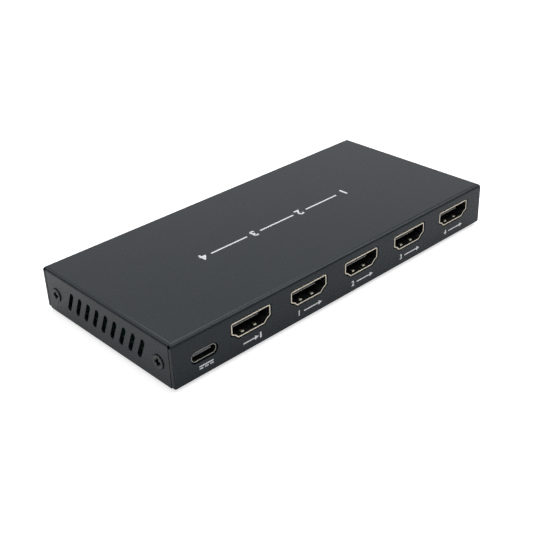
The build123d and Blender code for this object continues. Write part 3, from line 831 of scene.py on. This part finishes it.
# Video sockets
socketLook = {
    "x": {"input": -39.35, "output1": -16.3, "output2": 6.75, "output3": 29.8, "output4": 52.85},
    "finishes": (("nickelPlate", "nickelPaintedShade", "springNickelPaintedShade"), ("socketPlastic", "tonguePaintedGlint"),
                 ("goldInPaintedShade",)),
    "front": -30.9,
    "middle": 9.4,
    "width": 14.9,
    "height": 5.5,
    "side": 3.67,
    "shoulderWidth": 1.22,
    "shoulderDrop": 0.57,
    "bottom": 9.94,
    "corners": (0.65, 0.75, 0.5, 0.6, 0.6, 0.5, 0.75, 0.65),
    "wall": 0.45,
    "lip": 0.13,           # rounding of the shell's edge
    "lipBeforeShade": 0.4,      # share of it that keeps the bright nickel; behind it the shell has painted shade
    "length": 10.6,
    "fit": 0.05,
    "blockDepth": 6.2,
    "blockRound": 0.15,
    "tongueWidth": 10.2,
    "tongueMiddle": 9.5,
    "tongueThickness": 1.3,
    "tongueDepth": 2.4,
    "tongueCorner": 0.32,
    "tongueBevel": ((0.0, 0.42), (0.02, 0.2), (0.34, 0.02), (0.5, 0.0)),  # behind its tip; inset
    "rootWider": (0.9, 0.5),
    "rootCorner": 0.3,
    "rootBevel": ((0.45, 0.12), (0.33, 0.0)),   # before the block; inset
    "overlap": 0.2,        # of the tongue and its root with the block
    "litDepth": 0.4,       # how far the painted highlight on the tongue's lower edge goes back from its tip
    "litHeight": 0.36,
    "capEnd": 11.8,
    "capMargin": 0.6,
    "capCorner": 0.4,
    "capRound": 0.2,
    "contacts": (10, 9),
    "pitch": 1.0,
    "contactWidth": 0.4,
    "contactThickness": 0.12,
    "contactSetback": 0.4,
    "rowStep": 0.0,        # how far before the upper row the lower one goes down to the board
    "floorFingers": 2.4,
    "roofFingers": 4.0,
    "fingerWidth": 1.2,
    "fingerSlit": 0.3,
    "fingerTip": 1.1,
    "fingerBump": 1.6,
    "fingerRoot": 4.9,
    "fingerRise": 0.21,
    "fingerRun": 0.25,     # of a finger into the wall behind its root
    "fingerCurl": 0.30,
    "fingerThickness": 0.26,
    "fingerTaper": 0.16,
    "fingerEdge": 0.12,
    "windowReach": 0.1,
    "fingerShadeFrom": 0.45,     # how far behind its bump a finger keeps its half-shaded nickel; behind it, near-black painted shade
}

# What the legs and the contact strips of every socket have in common
legLook = {"width": 1.2, "reach": 0.6, "inset": 1.2, "corner": 0.1, "tip": 0.25, "tipInset": 0.1}
stripLook = {
    "curl": 0.25,          # length of the tip that dips into the tongue
    "run": 2.0,            # of the last level part, with the bend
    "bend": 0.25,
    "edge": 0.03,
    "lift": 0.02,          # of the strip's end over the board
}


def socketCorners(look):
    half, top = look["width"] / 2, look["height"] / 2
    sideEnd = top - look["side"]
    shoulder = (-half + look["shoulderWidth"], sideEnd - look["shoulderDrop"])
    left = [(-half, top), (-half, sideEnd), shoulder, (-look["bottom"] / 2, -top)]
    return np.array(left + [(-x, z) for x, z in reversed(left)]) + (0, look["middle"])


def tubeStations(front, rear, wall, lip, steps=4):
    # Along the outside of a tube, round its front edge and back inside: place along it, and inset.
    angle = np.linspace(0, pi / 2, steps + 1)
    outer = np.stack([front + lip * (1 - np.sin(angle)), lip * (1 - np.cos(angle))], 1)
    inner = np.stack([front + lip * (1 - np.cos(angle)), wall - lip * (1 - np.sin(angle))], 1)
    return np.concatenate([[(rear, 0)], outer, inner, [(rear, wall)]])


def fingerStrip(look, x, floor, up):
    # A strip from its root to a smooth bump and a tip that curls back, its edges narrowing.
    root, bump, tip = look["fingerRoot"], look["fingerBump"], look["fingerTip"]
    depth = np.concatenate([np.linspace(root + look["fingerRun"], bump, 15),
                            np.linspace(bump, tip, 8)[1:]])
    share = np.clip((root - depth) / (root - bump), 0, 1)
    curl = np.clip((bump - depth) / (bump - tip), 0, 1)
    rise = look["fingerRise"] * share ** 1.5 * (2.5 - 1.5 * share)
    rise = rise - look["fingerCurl"] * curl ** 1.8
    path = np.stack([look["front"] + depth, floor + up * rise], 1)
    corners = roundedOutline(rectangle(2, 1), look["fingerEdge"], steps=2)
    width = look["fingerWidth"] / 2 * (1 - look["fingerTaper"] * share ** 2)
    wide = corners[:, 0] * width[:, None]
    thick = np.broadcast_to((corners[:, 1] + up / 2) * look["fingerThickness"], wide.shape)
    return moved(sweep(path, np.stack([wide, thick], -1)), x)


def legShapes(look):
    # Two legs at each side, down through the board, their ends drawn in.
    leg, rear = legLook, look["front"] + look["length"]
    bottom = case["boardBottom"] - leg["reach"]
    stations = [(bottom, leg["tipInset"]), (bottom + leg["tip"], 0.0), (look["middle"], 0.0)]
    inset = leg["inset"] + leg["width"] / 2
    shapes = []
    for side in (-1, 1):
        x = side * (look["width"] / 2 - look["wall"] / 2)
        for y in (case["boardFront"] + inset, rear - inset):
            corners = rectangle(look["wall"], leg["width"], (x, y))
            shapes.append(loft("z", corners, leg["corner"], stations, steps=2))
    return shapes


def tongueShapes(look):
    # The tongue with its bevelled tip, and the low step where it leaves the block.
    tip, face = look["front"] + look["tongueDepth"], look["front"] + look["blockDepth"]
    middle, end = (0, look["tongueMiddle"]), [(face + look["overlap"], 0.0)]
    size = np.array([look["tongueWidth"], look["tongueThickness"]])
    bevel = [(tip + depth, inset) for depth, inset in look["tongueBevel"]] + end
    step = [(face - depth, inset) for depth, inset in look["rootBevel"]] + end
    wider = rectangle(*(size + look["rootWider"]), middle)
    return [loft("y", rectangle(*size, middle), look["tongueCorner"], bevel, steps=4),
            loft("y", wider, look["rootCorner"], step, steps=3)]


def contactPath(tip, level, turn, dip):
    # In Y and Z: a tip that dips into the tongue, a level run, a rounded turn, a drop to the board.
    angle = np.linspace(0, pi / 2, 6)
    away, bend = 1 - np.cos(angle), stripLook["bend"]
    start = np.stack([tip + stripLook["curl"] * away, level - dip * (1 - np.sin(angle))], 1)
    corner = np.stack([turn - bend + bend * np.sin(angle), level - bend * away], 1)
    end = (turn, case["boardTop"] + stripLook["lift"])
    return np.concatenate([start, [(turn - stripLook["run"], level)], corner, [end]])


def contactShapes(look):
    # One strip for each place of the two rows, one row on each face of the tongue. Rows with the
    # same places turn down at different depths, so that they stay clear of each other.
    thick = look["contactThickness"]
    tip = look["front"] + look["tongueDepth"] + look["contactSetback"]
    turn = look["front"] + look["capEnd"] + look["fit"] + thick / 2
    corners = roundedOutline(rectangle(look["contactWidth"], thick), stripLook["edge"], steps=1)
    shapes = []
    for count, up, end in zip(look["contacts"], (1, -1), (turn, turn - look["rowStep"])):
        level = look["tongueMiddle"] + up * (look["tongueThickness"] + thick) / 2
        strip = sweep(contactPath(tip, level, end, up * thick), corners)
        shapes += [moved(strip, (n - (count - 1) / 2) * look["pitch"]) for n in range(count)]
    return shapes


def makeVideoShell(look):
    # The tube with its windows cut, and the fingers and legs that are let into it.
    front, rear = look["front"], look["front"] + look["length"]
    stations = tubeStations(front, rear, look["wall"], look["lip"])
    tube = loft("y", socketCorners(look), look["corners"], stations, ring=True)
    width, reach = look["fingerWidth"] + 2 * look["fingerSlit"], look["windowReach"]
    depths = [(front + look["fingerTip"] - look["fingerSlit"], 0), (front + look["fingerRoot"], 0)]
    windows, fingers = [], []
    for up, spacing in ((1, look["floorFingers"]), (-1, look["roofFingers"])):
        level = look["middle"] - up * (look["height"] / 2 - look["wall"])
        low, high = sorted((level + up * reach, level - up * (look["wall"] + reach)))
        for x in (-spacing, spacing):
            corners = rectangle(width, high - low, (x, (low + high) / 2))
            windows.append(loft("y", corners, 0.02, depths, steps=1))
            fingers.append(fingerStrip(look, x, level, up))
    shell = cutAway(meshOf("tube", [tube]), meshOf("windows", windows))
    rest = meshOf("rest", fingers + legShapes(look))
    # Behind the lip the shell, the fingers' rear ends and the legs take the near-black nickel:
    # painted shade
    giveKinds(shell, faceMiddles(shell)[:, 1] > front + look["lip"] * look["lipBeforeShade"])
    giveKinds(rest, 2 - (faceMiddles(rest)[:, 1] > front + look["fingerBump"] + look["fingerShadeFrom"]))
    work = bmesh.new()
    work.from_mesh(shell)
    work.from_mesh(rest)
    work.to_mesh(shell)
    work.free()
    return shell


def makeVideoInsulator(look):
    front, rear = look["front"], look["front"] + look["length"]
    gap = look["wall"] + look["fit"]
    ends = roundedEnds(front + look["blockDepth"], rear, look["blockRound"])
    block = loft("y", socketCorners(look), look["corners"], [(y, inset + gap) for y, inset in ends])
    half = look["width"] / 2 - look["capMargin"]
    top = look["middle"] + look["height"] / 2 - look["capMargin"]
    plate = rectangle(2 * half, top - case["boardTop"], (0, (case["boardTop"] + top) / 2))
    ends = roundedEnds(rear, front + look["capEnd"], look["capRound"])
    cap = loft("y", plate, look["capCorner"], ends)
    insulator = meshOf("insulator", [block, cap, *tongueShapes(look)])
    # The lower edge of the tongue's tip takes the light grey plastic, a painted highlight
    _, y, z = faceMiddles(insulator).T
    lit = z < look["tongueMiddle"] - look["tongueThickness"] / 2 + look["litHeight"]
    giveKinds(insulator, lit & (y < front + look["tongueDepth"] + look["litDepth"]))
    return insulator


def addSocket(name, x, look, meshes):
    # A copy of the shell, the insulator and the contacts at its place in the row.
    node = name.replace("output", "output_") + "_socket_"
    for kind, mesh, names in zip(("Shell", "Insulator", "Contacts"), meshes, look["finishes"]):
        finish, *others = names
        copy = mesh.copy()
        copy.name = name + kind
        copy.transform(Matrix.Translation((x * mm, 0, 0)))
        addPiece(name + kind, copy, finish, node + kind.lower(), others=others)


videoContacts = meshOf("contacts", contactShapes(socketLook))
videoMeshes = makeVideoShell(socketLook), makeVideoInsulator(socketLook), videoContacts
for name, x in socketLook["x"].items():
    addSocket(name, x, socketLook, videoMeshes)
print("video sockets made")


# Power socket: a rounded shell with a thin tongue
powerLook = {
    "x": -56.6,
    "finishes": (("satinSteel", "nickelPaintedShade"), ("socketPlastic", "plasticPaintedSheen"), ("goldInPaintedShade",)),
    "front": -30.6,
    "middle": 7.63,
    "width": 8.94,
    "height": 3.16,
    "ease": 0.001,         # how far its ends' radius stays under half the height
    "wall": 0.3,
    "lip": 0.1,
    "lipBeforeShade": 0.8,
    "length": 7.3,
    "fit": 0.05,
    "blockDepth": 4.9,
    "blockRound": 0.1,
    "tongueWidth": 6.69,
    "tongueMiddle": 7.63,
    "tongueThickness": 0.7,
    "tongueDepth": 0.95,
    "tongueCorner": 0.3,
    "tongueBevel": ((0.0, 0.16), (0.06, 0.08), (0.25, 0.0)),
    "rootWider": (0.5, 0.5),
    "rootCorner": 0.25,
    "rootBevel": ((1.1, 0.15), (0.95, 0.0)),
    "overlap": 0.2,
    "sheenDepth": 0.2,    # of the tongue's tip, painted lighter as a sheen
    "capEnd": 7.3,
    "contacts": (8, 8),
    "pitch": 0.75,
    "contactWidth": 0.3,
    "contactThickness": 0.12,
    "contactSetback": 0.4,
    "rowStep": 0.3,
}


def makePowerSocket(look):
    front, rear = look["front"], look["front"] + look["length"]
    corners = rectangle(look["width"], look["height"], (0, look["middle"]))
    radius = look["height"] / 2 - look["ease"]
    stations = tubeStations(front, rear, look["wall"], look["lip"])
    tube = loft("y", corners, radius, stations, ring=True, steps=12)
    shell = meshOf("tube", [tube, *legShapes(look)])
    # Behind the lip the shell and its legs take the near-black nickel: painted shade
    giveKinds(shell, faceMiddles(shell)[:, 1] > front + look["lip"] * look["lipBeforeShade"])
    gap = look["wall"] + look["fit"]
    ends = roundedEnds(front + look["blockDepth"], rear, look["blockRound"])
    block = loft("y", corners, radius, [(y, inset + gap) for y, inset in ends], steps=12)
    insulator = meshOf("insulator", [block, *tongueShapes(look)])
    # The tongue's tip takes the grey plastic, a painted sheen
    sheenEnd = front + look["tongueDepth"] + look["sheenDepth"]
    giveKinds(insulator, faceMiddles(insulator)[:, 1] < sheenEnd)
    return shell, insulator, meshOf("contacts", contactShapes(look))


addSocket("power", powerLook["x"], powerLook, makePowerSocket(powerLook))
print("power socket made")


# Light pipes: a nose in its window, a slanted mirror face over the chip, and a foot astride it
pipeLook = {
    "width": 2.6,
    "height": 1.6,
    "middle": 8.0,
    "tip": 30.9,
    "length": 5.6,
    "leg": 0.5,
    "tunnel": 1.2,
    "tunnelTop": 6.8,
    "round": 0.14,
    "corner": 0.15,
}


def makePipe(look, x):
    low, high = look["middle"] - look["height"] / 2, look["middle"] + look["height"] / 2
    tip, rear, base = look["tip"], look["tip"] - look["length"], case["boardTop"]
    a, b = rear + look["leg"], rear + look["leg"] + look["tunnel"]
    c, roof = b + look["leg"], look["tunnelTop"]
    side = [(tip, low), (tip, high), (rear + look["height"], high), (rear, low), (rear, base),
            (a, base), (a, roof), (b, roof), (b, base), (c, base), (c, low)]
    ends = roundedEnds(x - look["width"] / 2, x + look["width"] / 2, look["round"])
    return meshOf("pipe", [loft("x", side, look["corner"], ends, steps=3)])


for name, x in {"power": powerLook["x"], **socketLook["x"]}.items():
    node = name.replace("output", "output_") + "_light"
    addPiece(name + "Light", makePipe(pipeLook, x), "milkyPipe", node)
print("light pipes made")


# White marks: numerals, arrows and the direct current sign
markLook = {
    "thick": 0.004,
    "proud": 0.001,
    "stroke": 0.42,
    "height": 1.9,
    "weight": 0.035,       # how far a figure's outline is widened, as a share of its size
    "level": 2.9,          # bottom of the front marks above the floor
    "arrowHead": 0.8,      # its length and width, as shares of the mark's height
    # Starts are from the middle of the socket
    "inputArrow": (-3.4, 5.9),      # start and length
    "inputBar": (2.9, 1.4),         # start, and width in strokes
    "outputArrow": (-2.3, 7.6),
    "outputFigure": -4.6,
    "currentSign": -2.2,
    "currentLine": (0.62, 5.0),     # height as a share of the mark's, and length
    "currentDashes": (0.22, 1.3, 1.85),   # the same, and pitch
    "topHeight": 3.5,
    "topStroke": 0.6,
    "topSpan": 63.3,
    "topFigure": 2.0,      # width that the last figure takes of the span
    "topLine": (3.9, 1.8),   # from a figure's start to its line, and from that to the next figure
    "topY": -0.7,
}


def flatBar(x0, x1, y0, y1):
    return np.array([(x0, y0), (x1, y0), (x1, y1), (x0, y1)], float)


def arrow(x, length, height, stroke):
    # A shaft and a head, pointing along +x.
    head, middle, end = height * markLook["arrowHead"], height / 2, x + length
    point = [(end - head, middle - head / 2), (end, middle), (end - head, middle + head / 2)]
    return [flatBar(x, end - head, middle - stroke / 2, middle + stroke / 2), np.array(point)]


def numeral(text, x, height):
    # A plain figure as a mesh, its lower left corner at x, scaled to its height.
    curve = bpy.data.curves.new("figure", "FONT")
    curve.body, curve.size, curve.resolution_u = text, 1.0, 6
    curve.offset = markLook["weight"]
    figure = placed("figure", curve)
    bpy.context.view_layer.update()
    mesh = bpy.data.meshes.new_from_object(figure)
    bpy.data.objects.remove(figure)
    points = positions(mesh)[:, :2]
    points = (points - points.min(0)) * (height / np.ptp(points[:, 1])) + (x, 0)
    return points, [list(face.vertices) for face in mesh.polygons]


def markMesh(name, bars, figures, place):
    # Flat shapes are carried to their face by an origin and two axes; addPiece gives them the ink's
    # thickness.
    origin, right, up = (np.array(part, float) for part in place)
    points, faces, start = [], [], 0
    for flat, parts in [(bar, [range(len(bar))]) for bar in bars] + figures:
        points.append(origin + flat[:, :1] * right + flat[:, 1:] * up)
        faces += [[corner + start for corner in part] for part in parts]
        start += len(flat)
    mesh = bpy.data.meshes.new(name)
    mesh.from_pydata((np.concatenate(points) * mm).tolist(), [], faces)
    return mesh


def frontMarks(look):
    h, s = look["height"], look["stroke"]
    bars, figures = [], []
    for name, x in socketLook["x"].items():
        kind = "input" if name == "input" else "output"
        start, length = look[kind + "Arrow"]
        bars += arrow(x + start, length, h, s)
        if kind == "input":
            start, width = look["inputBar"]
            bars.append(flatBar(x + start, x + start + s * width, 0, h))
        else:
            figures.append(numeral(name[-1], x + look["outputFigure"], h))
    # The direct current sign is a line over three dashes.
    x, (level, length) = powerLook["x"] + look["currentSign"], look["currentLine"]
    bars.append(flatBar(x, x + length, h * level, h * level + s))
    level, length, pitch = look["currentDashes"]
    bars += [flatBar(x + n * pitch, x + n * pitch + length, h * level, h * level + s)
             for n in range(3)]
    place = ((0, -case["halfWidth"] - look["proud"], look["level"]), (1, 0, 0), (0, 0, 1))
    return markMesh("frontMarks", bars, figures, place)


def topMarks(look):
    # Four figures joined by thin lines, read from the side of the lights.
    h, s, span = look["topHeight"], look["topStroke"], look["topSpan"]
    pitch, (before, after) = (span - look["topFigure"]) / 3, look["topLine"]
    figures = [numeral(str(n + 1), n * pitch, h) for n in range(4)]
    bars = [flatBar(n * pitch + before, (n + 1) * pitch - after, h / 2 - s / 2, h / 2 + s / 2)
            for n in range(3)]
    place = ((span / 2, look["topY"] + h / 2, case["top"] + look["proud"]), (-1, 0, 0), (0, -1, 0))
    return markMesh("topMarks", bars, figures, place)


for mesh in (frontMarks(markLook), topMarks(markLook)):
    addPiece(mesh.name, mesh, "whiteInk", thick=markLook["thick"])
print("marks made")


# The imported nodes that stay: what stands on and under the board
stayingNodes = {
    "boardMask": ["circuit_board"],
    "turnedBrass": ["board_standoffs"],
    "zincSteel": ["board_screws"],
    "chipCase": ["light_chips"],
    "chipEpoxy": ["main_chip", "control_chip", "memory_chip", "voltage_regulator", "surge_arrays"],
    "thermalPad": ["thermal_pad"],
    "extrudedAluminium": ["heat_sink"],
    "tinPlate": ["chip_leads", "capacitor_terminals"],
    "crystalLid": ["crystal"],
    "ferrite": ["power_inductors"],
    "capacitorYellow": ["bulk_capacitors"],
    "resistorGlaze": ["resistor_arrays"],
    "ceramicTan": ["ceramic_capacitors"],
}
for finish, names in stayingNodes.items():
    for name in names:
        item = nodes[name]
        for spot in item.material_slots:
            spot.material = materials[finish]
        if not item.material_slots:
            item.data.materials.append(materials[finish])
print("board parts dressed")


# Floor and light
stageLook = {
    "floorSize": 1.6,
    "floorColour": (0.80, 0.80, 0.80),
    "floorShades": (0.99, 1.0),
    "floorCloud": 1000 / 6,
    "floorGlow": 0.60,
    "floorMirrored": 0.15,
    "worldLevel": 0.40,
    "horizon": (0.08, 0.30),   # sines of the heights between which a reflection grows light
    "horizonLevel": 0.0,
    "overheadLevel": 0.91,
    "lamps": {
        # place, aim, width, length, power
        "overhead": ((0.14, 0.16, 0.66), (0, 0.03, 0), 0.6, 0.6, 3.1),
        "rightSide": ((0.55, -0.45, 0.62), (0, 0, 0.01), 0.45, 0.4, 2.1),
        "leftSide": ((-0.70, -0.20, 0.35), (-0.08, 0.08, 0), 0.4, 0.3, 0.9),
        "backLeft": ((-0.48, 0.54, 0.52), (0, 0, 0), 0.5, 0.42, 0.8),
    },
}


def floorFinish(look):
    # Pale and plain; what looks straight at it, or at its mirror image, sees it a little brighter.
    desk = Desk(bpy.data.materials.new("paleFloor"))
    cloud = desk.span(desk.noise(desk.place(), look["floorCloud"]), *noiseRange)
    colour = desk.shades(cloud, look["floorColour"], *look["floorShades"])
    plain = desk.add("ShaderNodeBsdfDiffuse", {}, {"Color": colour})
    seen = desk.add("ShaderNodeLightPath", output="Is Camera Ray")
    level = seen * look["floorGlow"] + desk.mirrored() * look["floorMirrored"]
    glow = desk.add("ShaderNodeEmission", {}, {"Strength": level})
    desk.put(desk.out.inputs["Surface"], desk.add("ShaderNodeAddShader", {}, {0: plain, 1: glow}))
    return desk.holder


def makeWorld(look):
    # White to the camera, and soft light to all else. Reflections see it dark at the horizon and
    # light overhead.
    world = bpy.data.worlds.new("studio")
    bpy.context.scene.world = world
    desk = Desk(world, "ShaderNodeOutputWorld")
    height = desk.parts(desk.add("ShaderNodeTexCoord", output="Generated"))[2]
    room = desk.span(height, *look["horizon"], look["horizonLevel"], look["overheadLevel"])
    seen, mirror = desk.add("ShaderNodeLightPath", output="Is Camera Ray"), desk.mirrored()
    level = seen + (1 - seen) * (mirror * room + (1 - mirror) * look["worldLevel"])
    light = desk.add("ShaderNodeBackground", {}, {"Color": (1, 1, 1, 1), "Strength": level})
    desk.put(desk.out.inputs["Surface"], light)


def makeStage(look):
    half = look["floorSize"] / 2
    corners = [(-half, -half, 0), (half, -half, 0), (half, half, 0), (-half, half, 0)]
    mesh = bpy.data.meshes.new("floor")
    mesh.from_pydata(corners, [], [(0, 1, 2, 3)])
    mesh.materials.append(floorFinish(look))
    floor = placed("floor", mesh)
    for name, (place, aim, width, length, power) in look["lamps"].items():
        lamp = bpy.data.lights.new(name, "AREA")
        lamp.shape, lamp.size, lamp.size_y, lamp.energy = "RECTANGLE", width, length, power
        item = placed(name, lamp)
        item.location = place
        item.rotation_euler = (Vector(aim) - Vector(place)).to_track_quat("-Z", "Y").to_euler()
    makeWorld(look)


makeStage(stageLook)
bpy.context.scene.view_settings.view_transform = "Standard"
print("floor and lights set")
